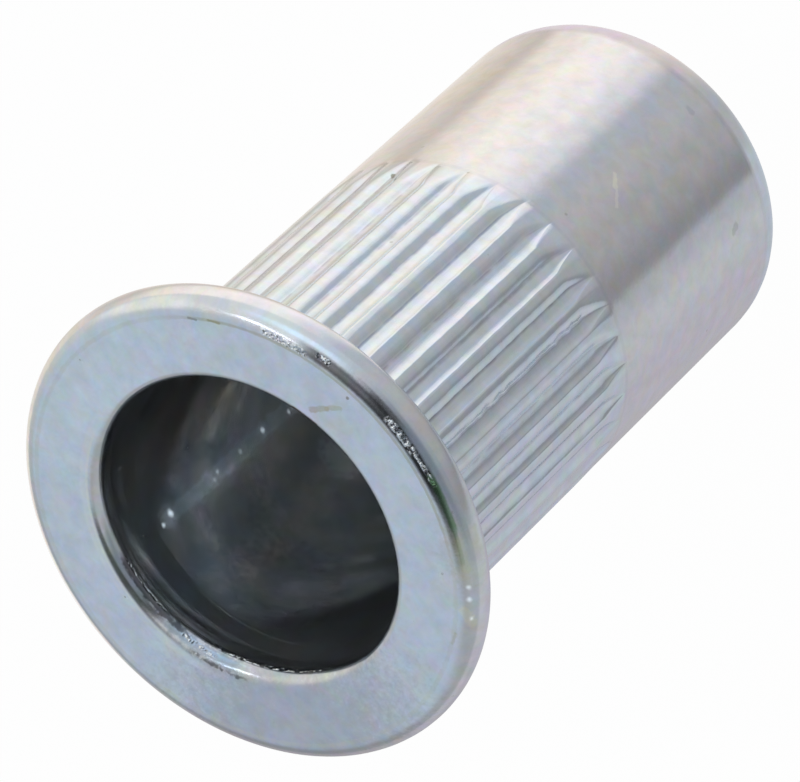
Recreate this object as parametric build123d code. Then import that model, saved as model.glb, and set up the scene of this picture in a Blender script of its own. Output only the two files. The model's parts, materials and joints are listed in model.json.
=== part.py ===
from build123d import *
import math
import os

# Blind rivet nut, M10 x 1.5: a thin-walled barrel with a straight knurl under a flat round flange,
# open right through, turned and rolled from one piece of steel. Millimetres, +Z along the nut's axis.
# z = 0 is the far end of the barrel, which it stands on, and z = length is the flange's face.

# outside
length = 26.0                # far end to the flange's face
barrel_diameter = 13.0       # over the knurl's lands
shank_relief = 0.02          # how much lower the smooth shank lies than the lands
end_round = 1.7              # corner of the barrel's far end
flange_diameter = 17.5
flange_thickness = 1.5       # the rim is a full round of this thickness

# bore, with depths measured from the flange's face
mouth_diameter = 11.36       # pocket inside the flange
mouth_round = 0.4            # lip between the flange's face and the pocket
mouth_depth = 1.45
step_angle = 15.0            # slope of the taper from the pocket to the counterbore, to the axis
counterbore_diameter = 11.0  # the thin wall that folds when the nut is set
counterbore_depth = 12.6
cone_angle = 45.0            # slope of the cone that leads the screw in, to the axis
thread_drill = 8.5           # plain hole that the M10 x 1.5 thread is cut in
end_chamfer = 0.25           # at the thread's far end

# straight knurl: grooves rolled into the barrel, from the flange's underside to a pointed run-out
groove_count = 36
groove_depth = 0.27
groove_angle = 106.0         # between a groove's two flanks
groove_length = 12.66        # from the flange's underside to the points
groove_run_out = 1.5         # last stretch, where the grooves end and the lands sink to the shank
cutter_margin = 0.1          # how far the groove's cutter stands out of the barrel

barrel_r = barrel_diameter / 2
shank_r = barrel_r - shank_relief
flange_r = flange_diameter / 2
mouth_r = mouth_diameter / 2
counterbore_r = counterbore_diameter / 2
drill_r = thread_drill / 2
rim_r = flange_thickness / 2
underside_z = length - flange_thickness


def cone_height(wide_r, narrow_r, angle):
    """Height of a cone between two radii, where angle is the slope of its side to the axis."""
    return (wide_r - narrow_r) / math.tan(math.radians(angle))


def outer_edge():
    """Far end, round corner, shank, lands, flange underside, full round rim and flange face."""
    points_z = underside_z - groove_length
    return [
        Line((drill_r + end_chamfer, 0), (shank_r - end_round, 0)),
        TangentArc((shank_r - end_round, 0), (shank_r, end_round), tangent=(1, 0)),
        Polyline(
            (shank_r, end_round),
            (shank_r, points_z),
            (barrel_r, points_z + groove_run_out),
            (barrel_r, underside_z),
            (flange_r - rim_r, underside_z),
        ),
        TangentArc((flange_r - rim_r, underside_z), (flange_r - rim_r, length), tangent=(1, 0)),
        Line((flange_r - rim_r, length), (mouth_r + mouth_round, length)),
    ]


def inner_edge():
    """Rounded mouth, pocket, taper, counterbore, lead-in cone, drilled hole and end chamfer."""
    taper_z = length - mouth_depth
    taper_end_z = taper_z - cone_height(mouth_r, counterbore_r, step_angle)
    cone_z = length - counterbore_depth
    drill_z = cone_z - cone_height(counterbore_r, drill_r, cone_angle)
    lip = TangentArc((mouth_r + mouth_round, length), (mouth_r, length - mouth_round), tangent=(-1, 0))
    wall = Polyline(
        (mouth_r, length - mouth_round),
        (mouth_r, taper_z),
        (counterbore_r, taper_end_z),
        (counterbore_r, cone_z),
        (drill_r, drill_z),
        (drill_r, end_chamfer),
        (drill_r + end_chamfer, 0),
    )
    return [lip, wall]


def blank():
    """The plain nut before knurling: its half section turned about the axis."""
    section = make_face(Curve() + outer_edge() + inner_edge())
    return revolve(Plane.XZ * section, Axis.Z)


def groove_section():
    """The V of one groove, seen along the axis, with its open side outside the barrel."""
    bottom_x = barrel_r - groove_depth
    top_x = barrel_r + cutter_margin
    half_width = (top_x - bottom_x) * math.tan(math.radians(groove_angle / 2))
    return make_face(Polyline((bottom_x, 0), (top_x, -half_width), (top_x, half_width), close=True))


def groove_cutter():
    """A straight V from the flange's underside, then a pyramid whose point lies on the shank."""
    run_out_z = underside_z - groove_length + groove_run_out
    point = Vertex(shank_r, 0, underside_z - groove_length)
    start = Pos(0, 0, run_out_z) * groove_section()
    straight = extrude(start, groove_length - groove_run_out)
    return straight + loft([start.face(), point])


def knurl():
    """Every groove's cutter, evenly round the barrel."""
    return PolarLocations(0, groove_count) * groove_cutter()


nut = blank() - knurl()

os.makedirs("parts", exist_ok=True)
export_step(nut, "parts/rivet_nut.step")
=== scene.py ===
import json
import math
import bpy
import numpy as np
from mathutils import Matrix, Vector

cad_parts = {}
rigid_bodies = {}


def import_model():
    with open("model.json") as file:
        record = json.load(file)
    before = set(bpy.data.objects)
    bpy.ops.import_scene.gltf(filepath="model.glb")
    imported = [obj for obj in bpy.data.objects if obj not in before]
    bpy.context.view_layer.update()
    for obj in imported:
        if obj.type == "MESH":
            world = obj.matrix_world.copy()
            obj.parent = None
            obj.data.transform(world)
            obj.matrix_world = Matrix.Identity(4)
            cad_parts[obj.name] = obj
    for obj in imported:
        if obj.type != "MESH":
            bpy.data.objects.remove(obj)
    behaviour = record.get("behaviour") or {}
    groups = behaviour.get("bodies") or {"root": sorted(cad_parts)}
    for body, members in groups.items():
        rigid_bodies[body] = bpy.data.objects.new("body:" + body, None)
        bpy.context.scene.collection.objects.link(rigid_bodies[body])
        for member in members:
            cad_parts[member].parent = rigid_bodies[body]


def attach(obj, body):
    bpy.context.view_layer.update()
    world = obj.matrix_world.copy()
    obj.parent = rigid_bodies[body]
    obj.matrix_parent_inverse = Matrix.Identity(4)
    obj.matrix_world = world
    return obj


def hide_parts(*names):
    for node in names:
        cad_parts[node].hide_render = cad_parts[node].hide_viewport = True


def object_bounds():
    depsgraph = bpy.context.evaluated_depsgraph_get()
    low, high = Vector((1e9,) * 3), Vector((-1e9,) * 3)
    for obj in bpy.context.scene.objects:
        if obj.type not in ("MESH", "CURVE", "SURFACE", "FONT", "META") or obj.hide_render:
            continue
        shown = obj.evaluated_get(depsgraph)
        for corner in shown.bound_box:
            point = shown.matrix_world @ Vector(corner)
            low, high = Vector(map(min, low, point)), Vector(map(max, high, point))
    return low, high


for leftOver in list(bpy.data.objects):      # the default cube, camera and lamp
    bpy.data.objects.remove(leftOver)
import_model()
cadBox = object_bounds()
mm = 0.001

# sizes in millimetres, angles in degrees, heights from the far end that the nut stands on
nut = {
    "length": cadBox[1].z / mm,
    "flangeRadius": min(-cadBox[0].x, cadBox[1].x, -cadBox[0].y, cadBox[1].y) / mm,
    "flangeThickness": 1.5,
    "barrelRadius": 6.5,
    "shankRelief": 0.02,
    "endRound": 1.7,
    "mouthRadius": 5.68,
    "mouthRound": 0.4,
    "mouthDepth": 1.45,
    "taperAngle": 15.0,      # from the pocket to the counterbore, to the axis
    "bead": (0.03, 0.15),    # height and half width of the fold that heading left under the lip
    "beadDepth": 0.72,
    "toolMark": (0.008, 0.06),
    "lipSag": [                 # how much deeper the mouth's edge is pressed in, by turn
        (-180, .16), (-140, .10), (-90, .08), (0, .08), (60, .10), (90, .14), (140, .12), (180, .16),
    ],
    "lipFold": [                # how far it is folded inward
        (-180, .16), (-140, .06), (-90, .03), (0, .00), (60, .05), (90, .12), (115, .28), (145, .32),
        (165, .24), (180, .16),
    ],
    "counterboreRadius": 5.5,
    "counterboreDepth": 12.6,
    "drillRadius": 4.25,
    "endChamfer": 0.25,
    "edge": 0.06,            # how far the small corners are rounded off
}

knurl = {
    "count": 36,
    "depth": 0.17,
    "softSide": 0.50,        # width of the flank that rolls over from the land
    "softCurve": (1.4, 3.0),
    "crispSide": 0.54,       # width of the flank that climbs to a sharp lip
    "crispCurve": 3.0,
    "lean": 0.14,            # the valley's distance from the groove's middle, toward the soft side
    "length": 12.66,         # from the flange's underside to the points
    "runOut": 1.5,           # how far above the points the full depth is reached
    "evenOut": 0.7,          # and how far below them the mesh is even again
    "jitter": 0.22,          # degrees that a groove may lie off its place
    "wander": 0.004,         # millimetres that a groove's line strays sideways
    "wanderPaces": (1.7, 4.3, 9.1),
    "chatter": 0.05,         # and its crease's quick shake, on some grooves
    "chatterShare": 1 / 12,
    "unevenDepth": 0.06,
    "unevenTip": 0.10,
    "seed": 1364,
}

thread = {
    "pitch": 1.5,
    "rootRadius": 5.02,
    "rootFlat": 0.19,
    "flankAngle": 30.0,
    "corner": 0.04,
    "fade": 0.9,             # height above the far end where the thread reaches its full depth
    "columns": 96,
}

look = {
    "aim": (-0.0001, 0.0, 0.0160),
    "distance": 0.2296,
    "azimuth": 4.2,
    "elevation": 46.14,
    "roll": -133.22,
    "lens": 307.3,
}


def arcRow(r, z, radius, start, end, count):
    # points on a round: centre plus radius times the cosine and sine of an even sweep of angles
    a = np.radians(np.linspace(start, end, count))
    return np.stack([r + radius * np.cos(a), z + radius * np.sin(a)], 1)


def lineRow(a, b, count, ends=0.0):
    # even steps from a to b. Where ends is set, one more point that close to each end keeps the shading
    # flat between them
    a, b = np.array(a, float), np.array(b, float)
    t = np.linspace(0, 1, count)
    if ends:
        share = ends / np.linalg.norm(b - a)
        t = np.unique(np.concatenate([t, [share, 1 - share]]))
    return a + (b - a) * t[:, None]


def swellRow(r, z, height, half, count):
    # a low ridge that stands in from a wall: half of height times 1 plus the cosine of the way across it
    u = np.linspace(1, -1, count)
    return np.stack([r - height / 2 * (1 + np.cos(np.pi * u)), z + half * u], 1)


def softMax(a, b, blend):
    # the larger of the two, with their crossing rounded off over the blend distance
    return np.maximum(a, b) + np.maximum(blend - np.abs(a - b), 0) ** 2 / (4 * blend)


def outerProfile():
    # the wall's outline as radius and height, from the far end's chamfer up the outside, over the flange
    # and down the bore to the cone's top. Each stretch comes with the finish that it has
    s = nut
    top, under = s["length"], s["length"] - s["flangeThickness"]
    rim = s["flangeThickness"] / 2
    edge, endRound, mouthRound = s["edge"], s["endRound"], s["mouthRound"]
    barrel, mouth, counterbore = s["barrelRadius"], s["mouthRadius"], s["counterboreRadius"]
    shank = barrel - s["shankRelief"]
    points = under - knurl["length"]
    full = points + knurl["runOut"]
    face = s["flangeRadius"] - rim
    pocket = top - s["mouthDepth"]
    taper = pocket - (mouth - counterbore) / math.tan(math.radians(s["taperAngle"]))
    parts = [
        ("barrel", lineRow((s["drillRadius"] + s["endChamfer"], 0), (shank - endRound, 0), 2, 0.1)),
        ("barrel", arcRow(shank - endRound, endRound, endRound, -90, 0, 11)),
        ("barrel", lineRow((shank, endRound), (shank, points - 0.8), 3, 0.15)),
        ("barrel", lineRow((shank, points - 0.8), (shank, points), 5)),
        ("barrel", lineRow((shank, points), (barrel, full), 14)),
        ("barrel", lineRow((barrel, full), (barrel, under - edge), 52)),
        ("barrel", arcRow(barrel + edge, under - edge, edge, 180, 90, 4)),
        ("flange", lineRow((barrel + edge, under), (face, under), 2, 0.1)),
        ("flange", arcRow(face, under + rim, rim, -90, 90, 21)),
        ("flange", lineRow((face, top), (mouth + mouthRound, top), 2, 0.1)),
        ("flange", arcRow(mouth + mouthRound, top - mouthRound, mouthRound, 90, 180, 10)),
        ("bore", swellRow(mouth, top - s["beadDepth"], *s["bead"], 9)),
        ("bore", swellRow(mouth, pocket + s["toolMark"][1], *s["toolMark"], 5)),
        ("bore", lineRow((mouth, pocket), (counterbore, taper), 2, 0.1)),
        ("bore", lineRow((counterbore, taper), (counterbore, top - s["counterboreDepth"]), 4, 0.1)),
    ]
    rows = np.concatenate([p for _, p in parts])
    finish = np.concatenate([[name] * len(p) for name, p in parts])
    apart = np.concatenate([[True], np.linalg.norm(np.diff(rows, axis=0), axis=1) > 1e-4])
    return rows[apart], finish[apart]


def grooveSet():
    # each groove's own turn, depth and tip, a little uneven
    rng = np.random.default_rng(knurl["seed"])
    n = knurl["count"]
    return {
        "turn": rng.uniform(-1, 1, n) * knurl["jitter"],
        "depth": 1 + rng.uniform(-1, 1, n) * knurl["unevenDepth"],
        "tip": rng.uniform(-1, 1, n) * knurl["unevenTip"],
        "phase": rng.uniform(0, 2 * math.pi, (3, n)),
        "shaken": rng.random(n) < knurl["chatterShare"],
    }


def knurlGrid(rows):
    # angle and radius of every point of the outside, and 1 in a groove's crease. Across a groove of depth d,
    # at a share x of a flank's width from its valley, the soft flank drops by d * (1 - x to the power a) to
    # the power b, with softCurve's a and b, and the crisp one by d * (1 - x to the power crispCurve). In the
    # run-out the depth and the crisp flank's width shrink in step, the soft one's by half as much, and the
    # valley bends to the crisp side
    n = knurl["count"]
    pitch = 360 / n
    perMm = math.degrees(1 / nut["barrelRadius"])
    crisp, soft, lean = (knurl[key] * perMm for key in ("crispSide", "softSide", "lean"))
    across = np.array([1.0, 0.93, 0.82, 0.68, 0.5, 0.2, 0, 0.08, 0.17, 0.27, 0.38, 0.5, 0.64, 0.8, 1.0])
    isCrisp = np.arange(len(across)) < 6
    g = grooveSet()
    under = nut["length"] - nut["flangeThickness"]
    tip = under - knurl["length"] + g["tip"]
    z = rows[:, 1][:, None]
    onBarrel = (np.abs(rows[:, 0] - nut["barrelRadius"]) < nut["edge"] + 1e-6) & (rows[:, 1] < under + 1e-6)
    onBarrel = (onBarrel & (rows[:, 1] > nut["endRound"]))[:, None]
    rise = np.clip((z - tip) / knurl["runOut"], 0, 1) * onBarrel
    below = np.where(onBarrel, np.clip((tip - z) / knurl["evenOut"], 0, 1), 1.0)
    crispShare = below + np.maximum(rise, 0.1) * (1 - below)
    softShare = below + (1 + rise) / 2 * (1 - below)
    stray = sum(np.sin(z * pace + g["phase"][i]) for i, pace in enumerate(knurl["wanderPaces"]))
    middle = lean + stray * (knurl["wander"] * perMm * rise) + (
        g["turn"] - crisp / 2 * (1 - rise) ** 1.5 * (1 - below)) * onBarrel
    shake = np.sin(z * 13 + 3 * np.sin(z * 4.1)) * (1 + np.sin(z * 1.3 + g["phase"][0])) / 2
    shake = (shake * knurl["chatter"] * perMm * g["shaken"] * rise)[:, :, None] * (1 - across) ** 2
    width = np.where(isCrisp, -crispShare[:, :, None] * crisp, softShare[:, :, None] * soft)
    land = (middle + softShare * soft + pitch + np.roll(middle - crispShare * crisp, -1, 1)) / 2
    spread = np.concatenate([middle[:, :, None] + width * across + shake, land[:, :, None]], 2)
    angle = np.arange(n)[:, None] * pitch + spread
    a, b = knurl["softCurve"]
    drop = np.append(np.where(isCrisp, 1 - across ** knurl["crispCurve"], (1 - across ** a) ** b), 0)
    radius = rows[:, 0][:, None, None] - knurl["depth"] * (g["depth"] * rise)[:, :, None] * drop
    crease = rise[:, :, None] * np.append(across == 0, False)
    return np.radians(angle.reshape(len(rows), -1)), radius.reshape(len(rows), -1), crease.ravel()


def threadRadius(z, turn):
    # ISO internal thread: drilled radius at the crests, root radius in the grooves, flanks at flankAngle
    t = thread
    half = t["pitch"] / 2
    along = np.abs((z - t["pitch"] * turn) % t["pitch"] - half)     # 0 in a root's middle, half at a crest
    depth = t["rootRadius"] - nut["drillRadius"]
    cut = depth - (along - t["rootFlat"] / 2) / math.tan(math.radians(t["flankAngle"]))
    cut = -softMax(-cut, -depth + 0 * cut, t["corner"])
    cut = softMax(cut, 0 * cut, t["corner"])
    fade = np.clip((z - nut["endChamfer"]) / (t["fade"] - nut["endChamfer"]), 0, 1)
    return nut["drillRadius"] + cut * fade * fade * (3 - 2 * fade)


def threadRows():
    # heights of rows that climb with the thread, one pitch a turn, past the cone's top and the far end
    t = thread
    half = t["pitch"] / 2
    root = t["rootFlat"] / 2
    crest = root + (t["rootRadius"] - nut["drillRadius"]) * math.tan(math.radians(t["flankAngle"]))
    c = t["corner"] / 2
    side = np.array([root - c, root + c, (root + crest) / 2, crest - c, crest + c])
    steps = np.concatenate([[0], side, [half], t["pitch"] - side[::-1]])
    turns = int(math.ceil((nut["length"] - nut["counterboreDepth"]) / t["pitch"])) + 3
    z = ((np.arange(turns)[:, None] - 2) * t["pitch"] + half + steps).ravel()
    turn = np.arange(t["columns"]) / t["columns"]
    return z[:, None] + t["pitch"] * turn, turn, len(steps)


def threadPatch(topRing, endRing):
    # the cone, the thread and the end chamfer. A point's radius is the largest of what the three cut. Rows
    # past either end fall on that end's ring, so the first and last turns taper to nothing against it
    s = nut
    z, turn, perTurn = threadRows()
    low, high = 0.0, s["length"] - s["counterboreDepth"]
    held = np.clip(z, low, high)
    cone = s["counterboreRadius"] - (high - held)
    chamfer = s["drillRadius"] + s["endChamfer"] - held
    radius = softMax(softMax(threadRadius(held, turn), cone, 0.03), chamfer, 0.03)
    angle = 2 * math.pi * turn
    points = np.stack([radius * np.cos(angle), radius * np.sin(angle), held], 2)
    rows, columns = z.shape
    index = topRing.max() + 1 + np.arange(rows * columns).reshape(rows, columns)
    ratio = len(topRing) // columns
    margin = 0.03
    index = np.where(z >= high - margin, topRing[::ratio], index)
    index = np.where(z <= low + margin, endRing[::ratio], index)
    upTurn = np.roll(index[:, :1], -perTurn, axis=0)            # a turn on is a pitch up
    after = np.concatenate([index[:, 1:], upTurn], 1)
    index, after = index[:rows - perTurn], after[:rows - perTurn]
    faces = np.stack([index[:-1], index[1:], after[1:], after[:-1]], 2).reshape(-1, 4)
    return points.reshape(-1, 3), faces


def ringFaces(patch, rings):
    # the patch's faces that touch a shared ring: a side along the ring takes up the ring's extra points,
    # and a side that has shrunk to a point is dropped
    place = {int(v): (name, i) for name, ring in rings.items() for i, v in enumerate(ring)}
    faces = []
    for face in patch.tolist():
        corners = [v for i, v in enumerate(face) if v != face[i - 1]]
        if len(set(corners)) < 3:
            continue
        full = []
        for a, b in zip(corners, corners[1:] + corners[:1]):
            full.append(a)
            (ringA, i), (ringB, j) = place.get(a, ("", 0)), place.get(b, ("", 0))
            if ringA and ringA == ringB:
                ring = rings[ringA]
                n = len(ring)
                step = (j - i + n // 2) % n - n // 2
                way = 1 if step > 0 else -1
                full += [int(ring[(i + way * k) % n]) for k in range(1, abs(step))]
        faces.append(full)
    return faces


def shapeLip(radius, height, angle):
    # the rounding of the mouth's edge is stretched down by lipSag and inward by lipFold, each in proportion
    # to its own depth and width, and the pocket's wall below runs straight from there to its floor
    s = nut
    lip = s["length"] - s["mouthRound"]
    floor = s["length"] - s["mouthDepth"]
    turn = (look["azimuth"] - 90 - np.degrees(angle) + 180) % 360 - 180
    sag, fold = (np.interp(turn, *np.array(s[key]).T) for key in ("lipSag", "lipFold"))
    sunk = s["length"] - (s["length"] - height) * (1 + sag / s["mouthRound"])
    squeezed = floor + (height - floor) * (lip - sag - floor) / (lip - floor)
    moved = np.where(height > lip, sunk, squeezed)
    inward = (s["mouthRadius"] + s["mouthRound"] - radius) / s["mouthRound"]
    inward = np.clip(np.where(height > lip, inward, (height - floor) / (lip - floor)), 0, 1)
    inside = (radius < s["mouthRadius"] + s["mouthRound"] + 0.01) & (height > floor)
    return np.where(inside, radius - fold * inward, radius), np.where(inside, moved, height)


def makeNut():
    # one closed shell: the outside is a grid of profile rows and knurl columns, and the thread's patch
    # joins its ends
    rows, finish = outerProfile()
    angle, radius, crease = knurlGrid(rows)
    m, n = angle.shape
    radius, height = shapeLip(radius, np.repeat(rows[:, 1:2], n, 1), angle)
    outer = np.stack([radius * np.cos(angle), radius * np.sin(angle), height], 2).reshape(-1, 3)
    i, j = np.meshgrid(np.arange(m - 1), np.arange(n), indexing="ij")
    k = (j + 1) % n
    quads = np.stack([i * n + j, i * n + k, (i + 1) * n + k, (i + 1) * n + j], 2).reshape(-1, 4)
    rings = {"cone": (m - 1) * n + np.arange(n), "end": np.arange(n)}
    inner, patch = threadPatch(rings["cone"], rings["end"])
    onRing = np.isin(patch, np.concatenate(list(rings.values()))).any(1)
    faces = quads.tolist() + patch[~onRing].tolist() + ringFaces(patch[onRing], rings)
    points = np.concatenate([outer, inner]) * mm
    used = np.zeros(len(points), bool)
    used[np.concatenate([np.array(f) for f in faces])] = True
    number = np.cumsum(used) - 1
    mesh = bpy.data.meshes.new("rivetNutShell")
    mesh.from_pydata(points[used], [], [number[f].tolist() for f in faces])
    names = list(finishes)
    slots = np.full(len(faces), names.index("bore"), np.int32)
    slots[:len(quads)] = np.repeat([names.index(f) for f in finish[1:]], n)
    mesh.polygons.foreach_set("material_index", slots)
    crease = np.concatenate([crease, np.zeros(len(inner))])[used]
    mesh.attributes.new("crease", "FLOAT", "POINT").data.foreach_set("value", crease)
    mesh.shade_smooth()
    piece = bpy.data.objects.new("rivetNutShell", mesh)
    bpy.context.scene.collection.objects.link(piece)
    return piece


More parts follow.
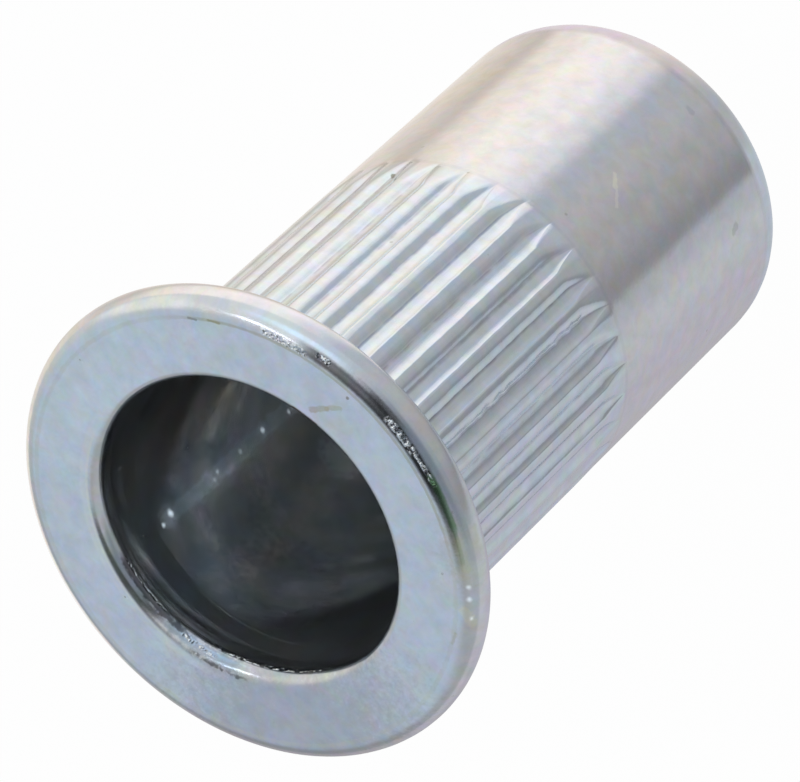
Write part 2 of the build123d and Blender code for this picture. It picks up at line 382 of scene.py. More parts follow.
# zinc plating. Tones are what the bare metal reflects, sizes and places are in millimetres. Patches are
# ovals, strokes run from one place to another, rings go round the axis and can keep to one side of it:
# toward is the turn of their middle and spread is half their length, in degrees. Many of the marks are
# painted shade, painted highlights and painted reflections, as noted at each. Sparkles are rings of
# ragged flecks painted near-white as highlights, over a ragged bump, and glints are small spots that
# shine of themselves, painted highlights that glow
finishes = {
    "barrel": {
        "tone": (0.80, 0.80, 0.81), "roughness": 0.15, "unevenShine": 0.05, "metallic": 1.0,
        # creaseShade and its tone paint shade into the grooves' creases
        "knurlTone": (.765, .83, .88), "creaseShade": 0.6, "creaseShadeTone": (.34, .33, .42),
        "mottle": 0.055, "mottleSize": 0.7, "tint": 0.38, "tintSize": 0.6,
        "grain": 0.0016, "grainSize": 0.14, "streaks": 0.0035, "specks": 0.10, "speckSize": 0.8,
        "dashes": 0.16,
        "patches": [
            {"at": (6.2, -1.9, 5.5), "half": (1.3, 1.6, 2.6), "tone": (.86, .80, .58), "strength": .30},
            {"at": (2.2, -6.1, 1.6), "half": (2.6, 1.2, 0.9), "tone": (.84, .74, .66), "strength": .30},
        ],
        "strokes": [
            {"from": (.74, -6.46, 7.85), "to": (.42, -6.48, 8.3), "width": .11, "tone": (.97, .97, .88),
             "strength": .85},
            {"from": (.30, -6.49, 8.35), "to": (-.1, -6.5, 8.9), "width": .08, "tone": (.97, .97, .90),
             "strength": .75},
            {"from": (.50, -6.48, 2.75), "to": (.62, -6.47, 2.75), "width": .17, "tone": (.50, .52, .56),
             "strength": .42},
            {"from": (-3.58, -5.43, 3.8), "to": (-3.5, -5.48, 3.65), "width": .19, "tone": (.46, .46, .40),
             "strength": .45},
            # two nicks at groove edges, painted: a pale painted highlight beside a dark painted shade, then a
            # second nick's dark painted shade
            {"from": (2.04, -5.90, 20.40), "to": (2.10, -5.90, 20.30), "width": .10, "tone": (.97, .97, .93),
             "strength": .9},
            {"from": (2.10, -5.88, 20.25), "to": (2.15, -5.88, 20.18), "width": .07, "tone": (.22, .20, .17),
             "strength": .9},
            {"from": (5.59, -3.11, 12.72), "to": (5.57, -3.15, 12.85), "width": .09, "tone": (.30, .28, .25),
             "strength": .9},
        ],
        "rings": [
            {"radius": 6.48, "height": 11.84, "reach": 0.12, "tone": (.62, .64, .68), "strength": .25},
            {"radius": 6.48, "height": 1.75, "reach": 0.16, "tone": (.66, .62, .62), "strength": .25},
            # the far end's round is darker toward turns 48 and 1: painted dark reflection
            {"radius": 6.2, "height": 0.9, "reach": 1.1, "tone": (.69, .70, .74), "strength": .65,
             "toward": 48, "spread": 38},
            {"radius": 6.36, "height": 1.3, "reach": 0.75, "tone": (.62, .63, .65), "strength": .8,
             "toward": 1, "spread": 22},
        ],
        "sparkles": [],
        "glints": [],
    },
    "flange": {
        "tone": (0.82, 0.83, 0.85), "roughness": 0.20, "unevenShine": 0.06, "metallic": 1.0,
        "mottle": 0.06, "mottleSize": 0.8, "tint": 0.36, "tintSize": 0.6,
        "grain": 0.0014, "grainSize": 0.11, "specks": 0.10, "speckSize": 0.7,
        "dashes": 0.10,
        "patches": [
            # the face is darkened over one half and lightened over the other: painted reflection
            {"at": (-6.4, 4.2, 26.0), "half": (5.5, 6.5, 1.5), "tone": (.64, .635, .65), "strength": .95},
            {"at": (7.2, 0.8, 26.0), "half": (3.5, 6.5, 1.5), "tone": (.87, .90, .90), "strength": .8},
            {"at": (-4.9, -6.9, 25.7), "half": (1.5, 1.3, 0.8), "tone": (.66, .68, .58), "strength": .5},
        ],
        "strokes": [
            {"from": (2.20, -5.45, 25.92), "to": (1.40, -5.70, 25.92), "width": .15, "tone": (.32, .22, .14),
             "strength": .8},
            {"from": (1.85, -6.05, 26.0), "to": (1.60, -6.60, 26.0), "width": .13, "tone": (.58, .48, .30),
             "strength": .55},
            {"from": (1.60, -6.60, 26.0), "to": (1.33, -7.05, 26.0), "width": .11, "tone": (.66, .58, .38),
             "strength": .5},
            {"from": (1.43, -7.6, 26.0), "to": (1.45, -7.62, 26.0), "width": .07, "tone": (.34, .31, .25),
             "strength": .8},
            {"from": (6.6, -4.5, 26.0), "to": (6.4, -4.7, 26.0), "width": .05, "tone": (.34, .32, .28),
             "strength": .6},
            {"from": (6.15, -5.1, 26.0), "to": (5.85, -5.4, 26.0), "width": .05, "tone": (.45, .40, .26),
             "strength": .7},
            {"from": (-4.35, -7.15, 25.9), "to": (-5.2, -6.6, 25.9), "width": .22, "tone": (.80, .80, .62),
             "strength": .55},
            {"from": (-6.3, -5.4, 25.9), "to": (-6.75, -5.2, 25.8), "width": .24, "tone": (.98, .96, .74),
             "strength": .6},
            {"from": (-6.7, -4.5, 26.0), "to": (-6.9, -4.1, 26.0), "width": .07, "tone": (.62, .60, .45),
             "strength": .5},
        ],
        "rings": [
            # a brown line at the face's edge on the camera's side: dirt there, deepened by painted dark
            # reflection
            {"radius": 7.99, "height": 26.0, "reach": 0.07, "tone": (.50, .45, .34), "strength": .6,
             "toward": -8, "spread": 52, "ragged": 0.7},
            {"radius": 8.00, "height": 26.0, "reach": 0.11, "tone": (.76, .72, .60), "strength": .35,
             "ragged": 1.4},
            # the rim's near-black band and its dark green stretches: painted dark reflection
            {"radius": 8.28, "height": 25.93, "reach": 0.25, "tone": (.10, .10, .11), "strength": .85,
             "toward": 1, "spread": 26},
            {"radius": 8.36, "height": 25.90, "reach": 0.16, "tone": (.16, .34, .14), "strength": .75,
             "toward": 26, "spread": 8},
            {"radius": 8.36, "height": 25.90, "reach": 0.10, "tone": (.16, .34, .14), "strength": .5,
             "toward": 37, "spread": 5},
            # pale bands round the mouth's edge on the far side: painted highlight
            {"radius": 6.16, "height": 26.0, "reach": 0.20, "tone": (.93, .92, .87), "strength": .55,
             "toward": -150, "spread": 62},
            {"radius": 6.04, "height": 26.0, "reach": 0.06, "tone": (.98, .95, .84), "strength": .6,
             "toward": -148, "spread": 45},
            # dark bands in the lip and mouth are painted shade, and the bluish-grey one is a painted
            # reflection
            {"radius": 5.66, "height": 25.80, "reach": 0.34, "tone": (.36, .43, .51), "strength": .75,
             "toward": 161, "spread": 17, "ragged": 1.2},
            {"radius": 5.62, "height": 25.70, "reach": 0.16, "tone": (.07, .07, .08), "strength": .85,
             "toward": -174, "spread": 20, "ragged": 1.6},
            {"radius": 5.46, "height": 25.50, "reach": 0.13, "tone": (.12, .12, .13), "strength": .75,
             "toward": 136, "spread": 28, "ragged": 2.4},
            {"radius": 5.86, "height": 25.92, "reach": 0.09, "tone": (.12, .12, .12), "strength": .7,
             "toward": 153, "spread": 12, "ragged": 2.2},
            # the rim's outer round is darker and bluer at the front and the sides: painted reflection
            {"radius": 8.62, "height": 24.75, "reach": 0.50, "tone": (.62, .65, .68), "strength": .7,
             "toward": 0, "spread": 60},
            {"radius": 8.74, "height": 25.35, "reach": 0.30, "tone": (.71, .74, .79), "strength": .65,
             "toward": -95, "spread": 38},
            {"radius": 8.74, "height": 25.35, "reach": 0.30, "tone": (.66, .69, .72), "strength": .65,
             "toward": 98, "spread": 34},
        ],
        # white flecks on the rim and the lip: painted highlights over a ragged bump
        "sparkles": [
            {"radius": 8.14, "height": 25.98, "reach": 0.14, "toward": -26, "spread": 7},
            {"radius": 8.34, "height": 25.92, "reach": 0.12, "toward": -16, "spread": 2},
            {"radius": 8.30, "height": 25.93, "reach": 0.16, "toward": 8, "spread": 5.5},
            {"radius": 8.33, "height": 25.92, "reach": 0.10, "toward": 17, "spread": 5},
            {"radius": 5.64, "height": 25.77, "reach": 0.12, "toward": 162, "spread": 8},
            {"radius": 5.40, "height": 25.56, "reach": 0.07, "toward": 132, "spread": 26},
            {"radius": 5.58, "height": 25.60, "reach": 0.06, "toward": -170, "spread": 13},
        ],
        "glints": [
            {"at": (-5.75, -6.15, 25.86), "size": 0.14, "strength": 0.35},
            {"at": (-6.08, -5.83, 25.86), "size": 0.16, "strength": 0.40},
            {"at": (-6.62, -5.31, 25.81), "size": 0.13, "strength": 0.40},
        ],
    },
    "bore": {
        "tone": (0.60, 0.61, 0.61), "roughness": 0.19, "unevenShine": 0.08, "metallic": 0.94,
        "mottle": 0.16, "mottleSize": 1.0, "tint": 0.40, "tintSize": 1.0,
        "grain": 0.0016, "grainSize": 0.15, "specks": 0.10, "speckSize": 0.6,
        "dashes": 0.05,
        "patches": [
            # the two dark grey patches are painted shade, the bluish one near the mouth a painted reflection,
            # and the pale one deep down a painted highlight
            {"at": (-2.8, 4.7, 21.4), "half": (2.5, 2.0, 3.0), "tone": (.40, .40, .42), "strength": .9},
            {"at": (4.1, 3.7, 21.0), "half": (2.4, 2.6, 4.5), "tone": (.66, .56, .50), "strength": .7},
            {"at": (1.4, 5.3, 20.6), "half": (3.1, 2.2, 3.0), "tone": (.40, .43, .46), "strength": .9},
            {"at": (0.4, 5.6, 23.6), "half": (4.6, 2.6, 1.9), "tone": (.50, .58, .68), "strength": .5},
            {"at": (-0.75, 5.44, 14.8), "half": (1.0, 0.9, 0.9), "tone": (.90, .97, 1.0), "strength": .9},
        ],
        "strokes": [
            # a pale streak down the wall and a short bright line at the tool mark: painted highlights
            {"from": (1.72, 5.23, 23.2), "to": (1.72, 5.23, 15.2), "width": .36, "tone": (.74, .86, .98),
             "strength": .42},
            {"from": (4.11, 3.92, 24.5), "to": (4.11, 3.92, 24.62), "width": .08, "tone": (.98, .97, .95),
             "strength": 1.0},
        ],
        "rings": [],
        # white flecks at the lip's inner edge: painted highlights over a ragged bump
        "sparkles": [{"radius": 5.56, "height": 25.48, "reach": 0.07, "toward": -170, "spread": 13}],
        "glints": [
            {"at": (1.74, 5.22, 23.05), "size": 0.60, "strength": 0.07},
            {"at": (1.66, 5.25, 23.42), "size": 0.15, "strength": 0.60},
            {"at": (1.80, 5.20, 22.84), "size": 0.20, "strength": 0.65},
            {"at": (1.70, 5.23, 20.00), "size": 0.45, "strength": 0.025},
            {"at": (1.62, 5.26, 20.20), "size": 0.10, "strength": 0.14},
            {"at": (1.76, 5.21, 19.90), "size": 0.13, "strength": 0.20},
            {"at": (1.73, 5.22, 18.45), "size": 0.14, "strength": 0.14},
            {"at": (1.75, 5.21, 16.98), "size": 0.40, "strength": 0.03},
            {"at": (1.75, 5.21, 16.98), "size": 0.15, "strength": 0.36},
            {"at": (1.62, 5.26, 15.38), "size": 0.13, "strength": 0.28},
        ],
    },
}


def addNode(tree, kind, sockets=(), **settings):
    # a node with its settings. Each of its inputs takes a value or another node's output
    new = tree.nodes.new("ShaderNode" + kind)
    for key, value in settings.items():
        setattr(new, key, value)
    for key, value in dict(sockets).items():
        if isinstance(value, bpy.types.NodeSocket):
            tree.links.new(value, new.inputs[key])
        else:
            new.inputs[key].default_value = value
    return new


def calc(tree, operation, *values):
    return addNode(tree, "Math", dict(enumerate(values)), operation=operation).outputs[0]


def calcVector(tree, operation, *values, out=0):
    return addNode(tree, "VectorMath", dict(enumerate(values)), operation=operation).outputs[out]


def ease(tree, value, low, high, to=(0.0, 1.0)):
    # a smooth step from one end of a range to the other
    sockets = {0: value, 1: low, 2: high, 3: to[0], 4: to[1]}
    return addNode(tree, "MapRange", sockets, interpolation_type="SMOOTHSTEP").outputs[0]


def blend(tree, share, a, b, kind="MIX"):
    return addNode(tree, "Mix", {0: share, 6: a, 7: b}, data_type="RGBA", blend_type=kind).outputs[2]


def makeGroup(name, inputs, outputs):
    # a shared effect with named sockets
    kinds = {"vector": "NodeSocketVector", "color": "NodeSocketColor", "value": "NodeSocketFloat"}
    group = bpy.data.node_groups.new(name, "ShaderNodeTree")
    for key, kind in inputs.items():
        group.interface.new_socket(key, in_out="INPUT", socket_type=kinds[kind])
    for key, kind in outputs.items():
        group.interface.new_socket(key, in_out="OUTPUT", socket_type=kinds[kind])
    given = group.nodes.new("NodeGroupInput").outputs
    result = group.nodes.new("NodeGroupOutput").inputs
    return group, given, result


def useGroup(tree, group, sockets):
    placed = tree.nodes.new("ShaderNodeGroup")
    placed.node_tree = group
    for key, value in sockets.items():
        if isinstance(value, bpy.types.NodeSocket):
            tree.links.new(value, placed.inputs[key])
        else:
            placed.inputs[key].default_value = value
    return placed.outputs


def mottleGroup():
    # cloudy patches: a noise round 1 that goes up and down by the amount
    group, given, result = makeGroup("mottle", {"Place": "vector", "Size": "value", "Amount": "value"},
                                     {"Factor": "value"})
    scale = calc(group, "DIVIDE", 1.0, given["Size"])
    noise = addNode(group, "TexNoise", {"Vector": given["Place"], "Scale": scale, "Detail": 4.0,
                                        "Roughness": 0.6})
    centred = calc(group, "SUBTRACT", noise.outputs[0], 0.5)
    swing = calc(group, "MULTIPLY", calc(group, "MULTIPLY", centred, 4.0), given["Amount"])
    group.links.new(calc(group, "ADD", swing, 1.0), result["Factor"])
    return group


def tintGroup():
    # the rainbow bloom of chromated zinc: pink, yellow and pale blue patches, each channel on its own noise
    group, given, result = makeGroup("tint", {"Place": "vector", "Color": "color", "Size": "value",
                                              "Amount": "value"}, {"Color": "color"})
    scale = calc(group, "DIVIDE", 1.0, given["Size"])
    noise = addNode(group, "TexNoise", {"Vector": given["Place"], "Scale": scale, "Detail": 3.0,
                                        "Roughness": 0.55, "Distortion": 0.4})
    centred = calcVector(group, "SUBTRACT", noise.outputs["Color"], (0.5, 0.5, 0.5))
    shaped = calcVector(group, "MULTIPLY", centred, (1.0, 0.7, 1.3))
    swing = addNode(group, "VectorMath", {0: shaped, "Scale": given["Amount"]}, operation="SCALE").outputs[0]
    factor = calcVector(group, "ADD", swing, (1.0, 1.0, 1.0))
    group.links.new(calcVector(group, "MULTIPLY", given["Color"], factor), result["Color"])
    return group


def speckGroup():
    # small round dots in some cells of a cell pattern
    group, given, result = makeGroup("specks", {"Place": "vector", "Size": "value", "Share": "value"},
                                     {"Mask": "value"})
    scale = calc(group, "DIVIDE", 1.0, given["Size"])
    cells = addNode(group, "TexVoronoi", {"Vector": given["Place"], "Scale": scale})
    chosen = calc(group, "LESS_THAN", addNode(group, "SeparateColor", {0: cells.outputs["Color"]}).outputs[0],
                  given["Share"])
    size = addNode(group, "SeparateColor", {0: cells.outputs["Color"]}).outputs[1]
    reach = calc(group, "MULTIPLY_ADD", size, 0.08, 0.03)
    dot = ease(group, cells.outputs["Distance"], reach, calc(group, "MULTIPLY", reach, 0.4))
    group.links.new(calc(group, "MULTIPLY", dot, chosen), result["Mask"])
    return group


def grainGroup():
    # the plating's fine crystal grain with broad shallow waves under it, as a height in millimetres
    group, given, result = makeGroup("grain", {"Place": "vector", "Size": "value", "Depth": "value"},
                                     {"Height": "value"})
    scale = calc(group, "DIVIDE", 1.0, given["Size"])
    fine = addNode(group, "TexNoise", {"Vector": given["Place"], "Scale": scale, "Detail": 2.0})
    broad = calc(group, "MULTIPLY", scale, 0.12)
    broad = addNode(group, "TexNoise", {"Vector": given["Place"], "Scale": broad, "Detail": 1.0})
    both = calc(group, "MULTIPLY_ADD", broad.outputs[0], 4.0, fine.outputs[0])
    group.links.new(calc(group, "MULTIPLY", both, given["Depth"]), result["Height"])
    return group


def streakGroup():
    # fine lines drawn along the axis, as a height in millimetres
    group, given, result = makeGroup("streaks", {"Place": "vector", "Depth": "value"}, {"Height": "value"})
    drawn = calcVector(group, "MULTIPLY", given["Place"], (9.0, 9.0, 0.8))
    noise = addNode(group, "TexNoise", {"Vector": drawn, "Scale": 1.0, "Detail": 2.0, "Roughness": 0.6})
    group.links.new(calc(group, "MULTIPLY", noise.outputs[0], given["Depth"]), result["Height"])
    return group


def patchGroup():
    # an oval round a given place: 1 inside, 0 past its half sizes, its edge made ragged by a given noise
    group, given, result = makeGroup("patch", {"Place": "vector", "Centre": "vector", "Half": "vector",
                                               "Edge": "value"}, {"Mask": "value"})
    apart = calcVector(group, "DIVIDE", calcVector(group, "SUBTRACT", given["Place"], given["Centre"]),
                       given["Half"])
    away = calcVector(group, "LENGTH", apart, out="Value")
    group.links.new(ease(group, calc(group, "ADD", away, given["Edge"]), 1.1, 0.35), result["Mask"])
    return group


def strokeGroup():
    # a line of a given width between two places: 1 along its middle and 0 beyond the width
    group, given, result = makeGroup("stroke", {"Place": "vector", "From": "vector", "To": "vector",
                                                "Width": "value", "Edge": "value"}, {"Mask": "value"})
    run = calcVector(group, "SUBTRACT", given["To"], given["From"])
    apart = calcVector(group, "SUBTRACT", given["Place"], given["From"])
    along = calc(group, "DIVIDE", calcVector(group, "DOT_PRODUCT", apart, run, out="Value"),
                 calcVector(group, "DOT_PRODUCT", run, run, out="Value"))
    near = addNode(group, "VectorMath", {0: run, "Scale": addNode(group, "Clamp", {0: along}).outputs[0]},
                   operation="SCALE").outputs[0]
    away = calc(group, "DIVIDE", calcVector(group, "DISTANCE", apart, near, out="Value"), given["Width"])
    group.links.new(ease(group, calc(group, "ADD", away, given["Edge"]), 1.1, 0.5), result["Mask"])
    return group


def ringGroup():
    # a band round the axis at a radius and height, kept to the side that a direction points to
    group, given, result = makeGroup("ring", {"Place": "vector", "Radius": "value", "Height": "value",
                                              "Reach": "value", "Toward": "vector", "Spread": "value",
                                              "Edge": "value"},
                                     {"Mask": "value"})
    level = calcVector(group, "MULTIPLY", given["Place"], (1.0, 1.0, 0.0))
    out = calcVector(group, "LENGTH", level, out="Value")
    height = addNode(group, "SeparateXYZ", {0: given["Place"]}).outputs[2]
    across = addNode(group, "CombineXYZ", {0: calc(group, "SUBTRACT", out, given["Radius"]),
                                           1: calc(group, "SUBTRACT", height, given["Height"])}).outputs[0]
    away = calc(group, "DIVIDE", calcVector(group, "LENGTH", across, out="Value"), given["Reach"])
    level = calcVector(group, "NORMALIZE", level)
    side = calcVector(group, "DOT_PRODUCT", level, given["Toward"], out="Value")
    side = ease(group, side, given["Spread"], calc(group, "MULTIPLY_ADD", given["Spread"], 0.5, 0.5))
    away = calc(group, "ADD", away, given["Edge"])
    group.links.new(calc(group, "MULTIPLY", ease(group, away, 1.0, 0.4), side), result["Mask"])
    return group


def dashGroup():
    # short pale scuffs, in some cells of a stretched cell pattern
    group, given, result = makeGroup("dashes", {"Place": "vector", "Share": "value"}, {"Mask": "value"})
    bent = addNode(group, "VectorRotate", {"Vector": given["Place"], "Axis": (0.3, 0.4, 0.86), "Angle": 0.6})
    long = calcVector(group, "MULTIPLY", bent.outputs[0], (2.6, 2.6, 0.9))
    cells = addNode(group, "TexVoronoi", {"Vector": long, "Scale": 1.0})
    hue = addNode(group, "SeparateColor", {0: cells.outputs["Color"]}).outputs
    dash = ease(group, cells.outputs["Distance"], calc(group, "MULTIPLY_ADD", hue[1], 0.10, 0.06), 0.02)
    chosen = calc(group, "LESS_THAN", hue[0], given["Share"])
    group.links.new(calc(group, "MULTIPLY", dash, chosen), result["Mask"])
    return group


# the small marks, alike on every stretch: dark specks, pale scuffs, and the painted highlights of sparkles
# and glints
marks = {
    "speckTone": (.30, .27, .22), "speckStrength": 0.35,
    "scuffTone": (.95, .94, .90), "scuffStrength": 0.25,
    "sparkleHighlightTone": (.97, .97, .95), "sparkleRelief": 0.11,
    "glintTone": (.76, .90, 1.0),
}

print("finishes")
shared = {"mottle": mottleGroup(), "tint": tintGroup(), "specks": speckGroup(), "grain": grainGroup(),
          "streaks": streakGroup(), "patch": patchGroup(), "stroke": strokeGroup(), "ring": ringGroup(),
          "dashes": dashGroup()}


def ringMask(tree, place, edge, ring):
    # toward and spread are degrees: the middle of the ring's seen stretch, right of the camera, and half
    # its length
    toward = math.radians(look["azimuth"] - ring.get("toward", 0))
    direction = (math.sin(toward), -math.cos(toward), 0.0)
    spread = math.cos(math.radians(ring["spread"])) if "spread" in ring else -3.0
    return useGroup(tree, shared["ring"], {"Place": place, "Radius": ring["radius"], "Height": ring["height"],
                                           "Reach": ring["reach"], "Toward": direction, "Spread": spread,
                                           "Edge": calc(tree, "MULTIPLY", edge, ring.get("ragged", 0.3))})[0]


def platedMetal(name):
    # the zinc of one stretch: cloudy, tinted and speckled, with a shine that goes with the clouds
    f = finishes[name]
    material = bpy.data.materials.new(name + "Zinc")
    material.use_nodes = True
    tree = material.node_tree
    shader = tree.nodes["Principled BSDF"]
    place = addNode(tree, "VectorMath", {0: addNode(tree, "TexCoord").outputs["Object"], "Scale": 1 / mm},
                    operation="SCALE").outputs[0]

    def effect(kind, **sockets):
        return useGroup(tree, shared[kind], {"Place": place, **sockets})[0]

    cloud = effect("mottle", Size=f["mottleSize"], Amount=f["mottle"])
    color = (*f["tone"], 1)
    if "knurlTone" in f:
        high = addNode(tree, "SeparateXYZ", {0: place}).outputs[2]
        start = nut["length"] - nut["flangeThickness"] - knurl["length"]
        knurled = ease(tree, high, start - 0.1, start + 0.5)
        color = blend(tree, knurled, color, (*f["knurlTone"], 1))
        # the grooves' creases are darkened, unevenly along them: painted shade
        crease = addNode(tree, "Attribute", attribute_name="crease").outputs["Fac"]
        creaseShadeNoise = addNode(tree, "TexNoise", {"Vector": place, "Scale": 1.1, "Detail": 3.0}).outputs[0]
        crease = calc(tree, "MULTIPLY", crease, ease(tree, creaseShadeNoise, 0.35, 0.6, (0.15, f["creaseShade"])))
        color = blend(tree, crease, color, (*f["creaseShadeTone"], 1))
    ragged = addNode(tree, "TexNoise", {"Vector": place, "Scale": 4.0, "Detail": 3.0, "Roughness": 0.7})
    edge = calc(tree, "MULTIPLY", calc(tree, "SUBTRACT", ragged.outputs[0], 0.5), 1.2)
    masks = [(effect("patch", Centre=p["at"], Half=p["half"], Edge=edge), p) for p in f["patches"]]
    masks += [(ringMask(tree, place, edge, ring), ring) for ring in f["rings"]]
    for stroke in f["strokes"]:
        line = {"From": stroke["from"], "To": stroke["to"], "Width": stroke["width"]}
        masks.append((effect("stroke", Edge=calc(tree, "MULTIPLY", edge, 1.5), **line), stroke))
    for mask, mark in masks:
        color = blend(tree, calc(tree, "MULTIPLY", mask, mark["strength"]), color, (*mark["tone"], 1))
    color = effect("tint", Color=color, Size=f["tintSize"], Amount=f["tint"])
    color = addNode(tree, "VectorMath", {0: color, "Scale": cloud}, operation="SCALE").outputs[0]
    dots = effect("specks", Size=f["speckSize"], Share=f["specks"])
    color = blend(tree, calc(tree, "MULTIPLY", dots, marks["speckStrength"]), color, (*marks["speckTone"], 1))
    scuffs = calc(tree, "MULTIPLY", effect("dashes", Share=f["dashes"]), marks["scuffStrength"])
    color = blend(tree, scuffs, color, (*marks["scuffTone"], 1))
    swing = calc(tree, "SUBTRACT", cloud, 1.0)
    rough = calc(tree, "MULTIPLY_ADD", swing, -f["unevenShine"] / f["mottle"], f["roughness"])
    rough = calc(tree, "MULTIPLY_ADD", dots, 0.15, rough)
    height = effect("grain", Size=f["grainSize"], Depth=f["grain"])
    if "knurlTone" in f:
        drawn = effect("streaks", Depth=calc(tree, "MULTIPLY", knurled, f["streaks"]))
        height = calc(tree, "ADD", height, drawn)
    # sparkles: ragged flecks painted near-white as highlights, with a bump under them
    if f["sparkles"]:
        sparkleNoise = addNode(tree, "TexNoise", {"Vector": place, "Scale": 6.5, "Detail": 1.0}).outputs[0]
    for ring in f["sparkles"]:
        mask = ringMask(tree, place, edge, ring)
        paintedSparkle = calc(tree, "MULTIPLY", mask, ease(tree, sparkleNoise, 0.48, 0.60))
        color = blend(tree, paintedSparkle, color, (*marks["sparkleHighlightTone"], 1))
        bent = calc(tree, "MULTIPLY", mask, calc(tree, "SUBTRACT", sparkleNoise, 0.5))
        height = calc(tree, "MULTIPLY_ADD", bent, marks["sparkleRelief"], height)
    glow = (0, 0, 0, 1)
    for glint in f["glints"]:
        away = calcVector(tree, "DISTANCE", place, glint["at"], out="Value")
        spot = ease(tree, calc(tree, "MULTIPLY_ADD", edge, glint["size"], away), glint["size"], 0.0,
                    (0.0, glint["strength"]))
        glow = blend(tree, spot, glow, (*marks["glintTone"], 1))
    tree.links.new(color, shader.inputs["Base Color"])
    tree.links.new(rough, shader.inputs["Roughness"])
    bump = addNode(tree, "Bump", {"Strength": 1.0, "Distance": mm, "Height": height})
    tree.links.new(bump.outputs[0], shader.inputs["Normal"])
    shader.inputs["Metallic"].default_value = f["metallic"]
    if f["glints"]:
        tree.links.new(glow, shader.inputs["Emission Color"])
        shader.inputs["Emission Strength"].default_value = 1.0
        material.cycles.emission_sampling = "NONE"
    return material


print("nut")
nutPiece = makeNut()
for name in finishes:
    nutPiece.data.materials.append(platedMetal(name))
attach(nutPiece, "root")
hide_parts("rivet_nut")

# turns are degrees to the right of the camera. A tone of 1 is white paper
studio = {
    "floorGlow": 0.98,
    "floorReach": 1500.0,        # millimetres, as all sizes here
    "discRadius": 4.4,
    "discHeight": 0.03,
    "sheetReach": 590.0,
    "sheetHeight": 0.02,
    "sheets": [
        (-90, (.95, .89, .83)), (-72, (.81, .73, .66)), (-59, (.67, .60, .54)), (-51, (.95, .86, .78)),
        (-38, (1.10, 1.03, .97)), (-28, (1.03, .99, .98)), (-20, (.84, .83, .85)), (-12, (.48, .51, .57)),
        (-4, (.50, .50, .51)), (10, (.42, .42, .43)), (25, (.29, .29, .31)), (29, (.47, .49, .53)),
        (40, (.56, .58, .61)), (60, (.52, .50, .56)), (90, (.46, .45, .47)),
    ],
    "underSheets": [                # the sheets' tones close against the nut
        (-90, (.80, .73, .75)), (-40, (.84, .74, .78)), (-18, (.84, .77, .75)), (4, (.58, .58, .60)),
        (30, (.56, .62, .68)), (90, (.50, .53, .60)),
    ],
    "tentRadius": 600.0,
    "tent": [
        (-180, (.34, .37, .40)), (-140, (.56, .58, .60)), (-95, (.66, .68, .68)), (-55, (.76, .80, .84)),
        (-25, (.58, .64, .70)), (0, (.43, .46, .49)), (45, (.28, .31, .34)), (75, (.44, .47, .51)),
        (120, (.38, .39, .41)), (180, (.34, .37, .40)),
    ],
    # middle by turn and height, half its spread each way, how much of that is soft, and tone
    "cards": [
        {"at": (180, 44), "half": (75, 26), "soft": 0.6, "tone": (.48, .56, .66)},
        {"at": (-106, 27), "half": (22, 30), "soft": 0.5, "tone": (.84, .86, .82)},
        {"at": (-44, 40), "half": (26, 14), "soft": 0.6, "tone": (.84, 1.02, 1.20)},
        {"at": (30, 45), "half": (40, 30), "soft": 0.6, "tone": (.19, .23, .27)},
        {"at": (78, 68), "half": (32, 10), "soft": 0.5, "tone": (.13, .17, .15)},
        {"at": (92, 90), "half": (108, 24), "soft": 0.3, "tone": (.03, .033, .036)},
        {"at": (75, 76), "half": (105, 14), "soft": 0.4, "tone": (.05, .06, .055)},
        {"at": (2, 58), "half": (17, 20), "soft": 0.5, "tone": (.06, .065, .07)},
        {"at": (-90, 64), "half": (3, 8), "soft": 0.4, "tone": (4.5, 4.8, 5.2)},
    ],
}


def makeCamera():
    # back is the direction from the aim to the camera, which is turned about it by the roll
    a, e = math.radians(look["azimuth"]), math.radians(look["elevation"])
    back = Vector((math.sin(a) * math.cos(e), -math.cos(a) * math.cos(e), math.sin(e)))
    camera = bpy.data.objects.new("camera", bpy.data.cameras.new("camera"))
    bpy.context.scene.collection.objects.link(camera)
    camera.rotation_mode = "QUATERNION"
    roll = Matrix.Rotation(math.radians(look["roll"]), 3, "Z").to_quaternion()
    camera.rotation_quaternion = back.to_track_quat("Z", "Y") @ roll
    camera.location = Vector(look["aim"]) + back * look["distance"]
    camera.data.lens = look["lens"]
    camera.data.clip_start, camera.data.clip_end = 0.005, 5
    bpy.context.scene.camera = camera


def side(turn):
    # level direction that many degrees to the right of the camera
    a = math.radians(look["azimuth"]) - np.radians(turn)
    return np.stack([np.sin(a), -np.cos(a)], -1)


def tonesAt(stops, turn):
    # smooth steps between the tones of neighbouring stops
    at = np.array([s[0] for s in stops], float)
    tone = np.array([s[1] for s in stops])
    i = np.clip(np.searchsorted(at, turn, side="right") - 1, 0, len(at) - 2)
    t = np.clip((turn - at[i]) / (at[i + 1] - at[i]), 0, 1)
    t = (t * t * (3 - 2 * t))[..., None]
    return tone[i] * (1 - t) + tone[i + 1] * t


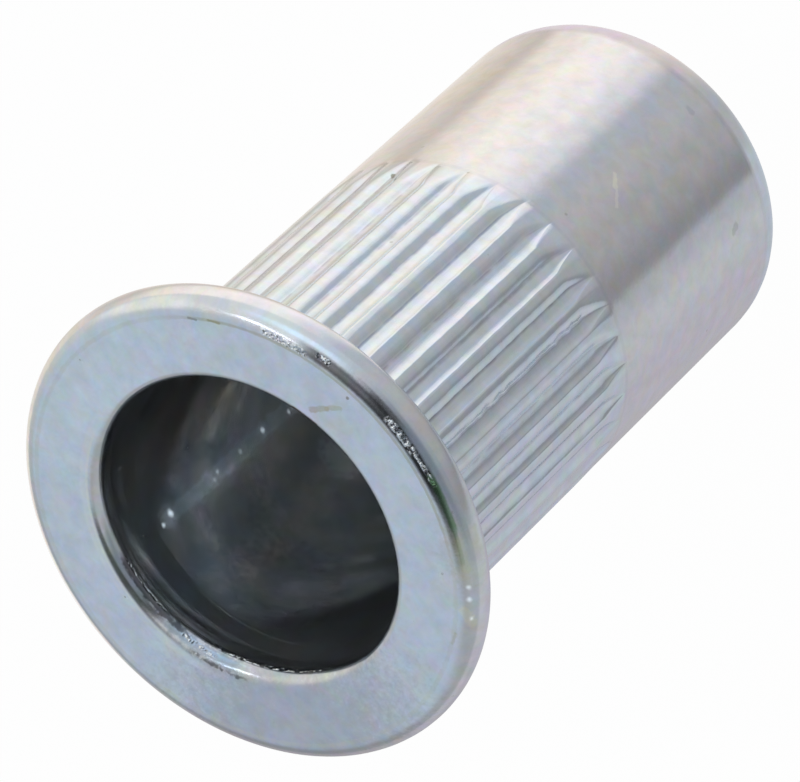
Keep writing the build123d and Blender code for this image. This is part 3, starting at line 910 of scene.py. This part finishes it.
def makeSheet(name, points, tones, material):
    # a grid of points as a sheet that the camera and shadows don't see
    rows, columns = points.shape[:2]
    i, j = np.meshgrid(np.arange(rows - 1), np.arange(columns - 1), indexing="ij")
    a = i * columns + j
    faces = np.stack([a, a + 1, a + columns + 1, a + columns], 2).reshape(-1, 4)
    mesh = bpy.data.meshes.new(name)
    mesh.from_pydata(points.reshape(-1, 3) * mm, [], faces.tolist())
    mesh.shade_smooth()
    colors = np.concatenate([tones.reshape(-1, 3), np.ones((rows * columns, 1))], 1)
    mesh.color_attributes.new("tone", "FLOAT_COLOR", "POINT").data.foreach_set("color", colors.ravel())
    mesh.materials.append(material)
    sheet = bpy.data.objects.new(name, mesh)
    bpy.context.scene.collection.objects.link(sheet)
    sheet.visible_camera = False
    sheet.visible_shadow = False
    return sheet


def glowMaterial():
    material = bpy.data.materials.new("cardTone")
    material.use_nodes = True
    tree = material.node_tree
    tree.nodes.clear()
    tone = addNode(tree, "Attribute", attribute_name="tone").outputs["Color"]
    addNode(tree, "OutputMaterial", {0: addNode(tree, "Emission", {0: tone}).outputs[0]})
    material.cycles.emission_sampling = "NONE"
    return material


def makeCards():
    # floor sheets fan out from the nut: each line of the fan starts under the barrel's side that faces a
    # turn and runs off at twice that turn, which is where that side's reflection runs. The tent is a half
    # sphere of soft cards
    material = glowMaterial()
    turn = np.linspace(-90, 90, 361)
    reach = np.array([0.0, 0.9, 1.5, 40.0, studio["sheetReach"]])
    start = side(turn) * (nut["barrelRadius"] + 0.02)
    flat = start + side(2 * turn) * reach[:, None, None]
    flat = np.concatenate([side(turn)[None] * studio["discRadius"], flat])
    flat = np.concatenate([flat, flat[:, :1]], 1)
    points = np.concatenate([flat, np.full(flat.shape[:2] + (1,), studio["sheetHeight"])], 2)
    turn = np.append(turn, turn[0])
    tones = np.broadcast_to(tonesAt(studio["sheets"], turn), flat.shape[:2] + (3,)).copy()
    tones[:3] = tonesAt(studio["underSheets"], turn)
    fan = makeSheet("floorSheets", points, tones, material)
    fan.visible_diffuse = False
    turn, height = np.meshgrid(np.linspace(-180, 180, 181), np.linspace(0, 90, 61))
    tones = tonesAt(studio["tent"], turn)
    for card in studio["cards"]:
        off = np.abs((turn - card["at"][0] + 180) % 360 - 180) / card["half"][0]
        off = np.maximum(off, np.abs(height - card["at"][1]) / card["half"][1])
        t = np.clip((1 - off) / card["soft"], 0, 1)[..., None]
        t = t * t * (3 - 2 * t)
        tones = tones * (1 - t) + np.array(card["tone"]) * t
    level = np.cos(np.radians(height))[..., None]
    points = np.concatenate([side(turn) * level, np.sin(np.radians(height))[..., None]], 2)
    makeSheet("tent", points * studio["tentRadius"], tones, material)


def makeFloor():
    # white to the camera, and to reflections past the sheets, with the nut's soft shadow left on it. Under
    # the bore lies a plain disc, since a floor that shines there would light the bore from within
    material = bpy.data.materials.new("paleFloor")
    material.use_nodes = True
    tree = material.node_tree
    tree.nodes.clear()
    plain = addNode(tree, "BsdfDiffuse", {0: (0.9, 0.9, 0.9, 1)}).outputs[0]
    white = addNode(tree, "Emission", {0: (1, 1, 1, 1), 1: 1.0}).outputs[0]
    path = addNode(tree, "LightPath").outputs
    seen = calc(tree, "ADD", calc(tree, "ADD", path["Is Camera Ray"], path["Is Glossy Ray"]),
                path["Is Transmission Ray"])
    share = calc(tree, "MULTIPLY", calc(tree, "MINIMUM", seen, 1.0), studio["floorGlow"])
    mixed = addNode(tree, "MixShader", {0: share, 1: plain, 2: white}).outputs[0]
    addNode(tree, "OutputMaterial", {0: mixed})
    disc = bpy.data.materials.new("boreFloor")
    disc.use_nodes = True
    shader = disc.node_tree.nodes["Principled BSDF"]
    shader.inputs["Base Color"].default_value = (0.8, 0.8, 0.8, 1)
    shader.inputs["Roughness"].default_value = 0.9
    a = np.linspace(0, 2 * math.pi, 64, endpoint=False)
    ring = np.stack([np.cos(a), np.sin(a), 0 * a], 1)
    square = ring[::16] * studio["floorReach"]
    circle = ring * studio["discRadius"] + (0, 0, studio["discHeight"])
    for name, points, paint in (("floor", square, material), ("boreFloor", circle, disc)):
        mesh = bpy.data.meshes.new(name)
        mesh.from_pydata(points * mm, [], [list(range(len(points)))])
        mesh.materials.append(paint)
        piece = bpy.data.objects.new(name, mesh)
        bpy.context.scene.collection.objects.link(piece)


def makeWorld():
    world = bpy.data.worlds.new("whiteRoom")
    bpy.context.scene.world = world
    world.use_nodes = True
    world.node_tree.nodes["Background"].inputs[0].default_value = (1, 1, 1, 1)
    world.node_tree.nodes["Background"].inputs[1].default_value = 1.0


print("studio")
makeCamera()
makeWorld()
makeFloor()
makeCards()
bpy.context.scene.view_settings.view_transform = "Standard"
